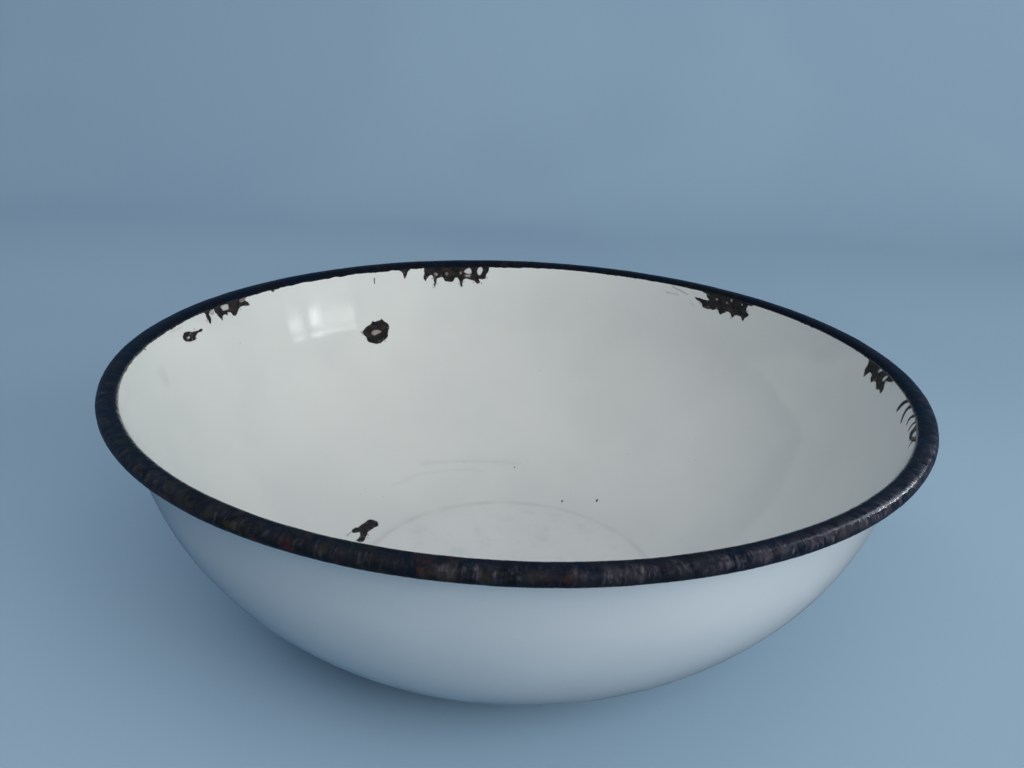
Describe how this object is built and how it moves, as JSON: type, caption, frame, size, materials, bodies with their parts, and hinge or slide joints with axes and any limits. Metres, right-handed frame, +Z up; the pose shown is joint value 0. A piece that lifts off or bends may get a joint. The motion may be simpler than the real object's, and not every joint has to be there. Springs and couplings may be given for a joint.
{
  "type": "enamelled basin",
  "caption": "Round deep dish of white enamelled steel with a blue-black rolled rim, to stand on a flat base and hold liquid and prints.",
  "frame": {"origin": "centre of the flat base, on the surface that the basin stands on", "axes": "+Z up along the basin's axis of symmetry; X and Y in the plane of the base"},
  "size_m": [0.3404, 0.3404, 0.1128],
  "materials": {
    "steel": "pressed sheet, matt where bare, rusted where the glaze has gone",
    "ground_enamel": "thin dark glassy first coat, semi-matt where chips expose it",
    "white_enamel": "glossy vitreous enamel with faint wear",
    "rim_enamel": "glossy blue-black edging, crazed and worn"
  },
  "bodies": {
    "root": {"steel_shell": "steel", "ground_coat_inside": "ground_enamel", "ground_coat_outside": "ground_enamel", "white_enamel_inside": "white_enamel", "white_enamel_outside": "white_enamel", "rim_enamel": "rim_enamel"}
  },
  "joints": []
}
